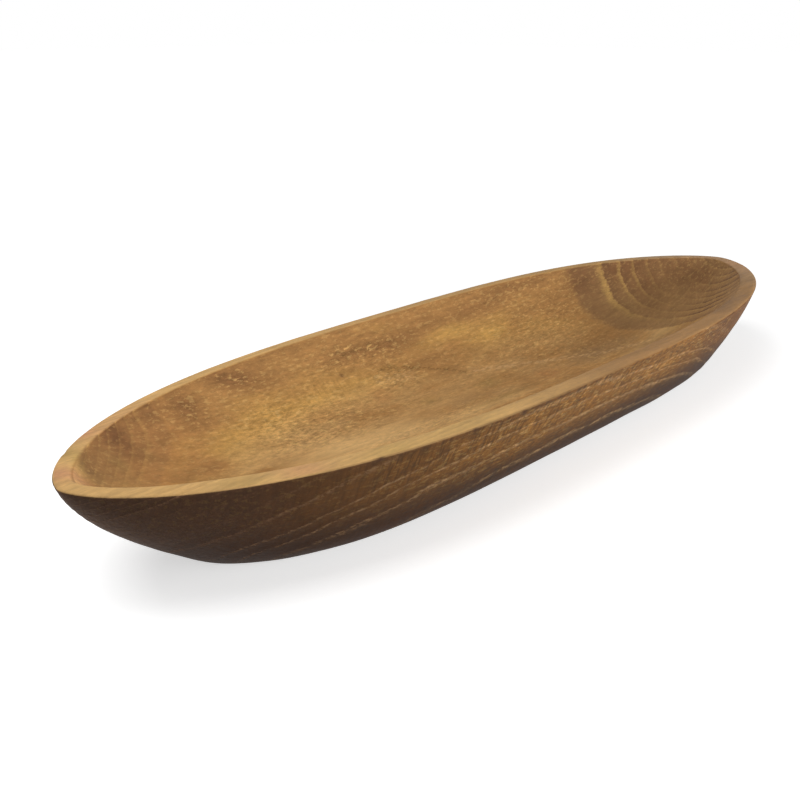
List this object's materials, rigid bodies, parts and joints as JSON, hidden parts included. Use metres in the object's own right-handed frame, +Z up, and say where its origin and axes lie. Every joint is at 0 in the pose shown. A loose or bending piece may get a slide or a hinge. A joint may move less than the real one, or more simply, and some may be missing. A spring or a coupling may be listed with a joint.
{
  "type": "serving tray",
  "caption": "Long canoe-shaped serving tray carved from one solid board, with a flat base, flared sides, upswept ends, an even flat rim and a smooth scooped hollow.",
  "frame": {"origin": "centre of the flat base, in the plane that the tray rests on", "axes": "+X along the tray, +Y across it, +Z up out of the hollow"},
  "size_m": [0.4998, 0.1492, 0.05],
  "materials": {
    "oiled_wood": "brushed and oiled, open grain"
  },
  "bodies": {
    "root": {"carved_tray": "oiled_wood"}
  },
  "joints": []
}
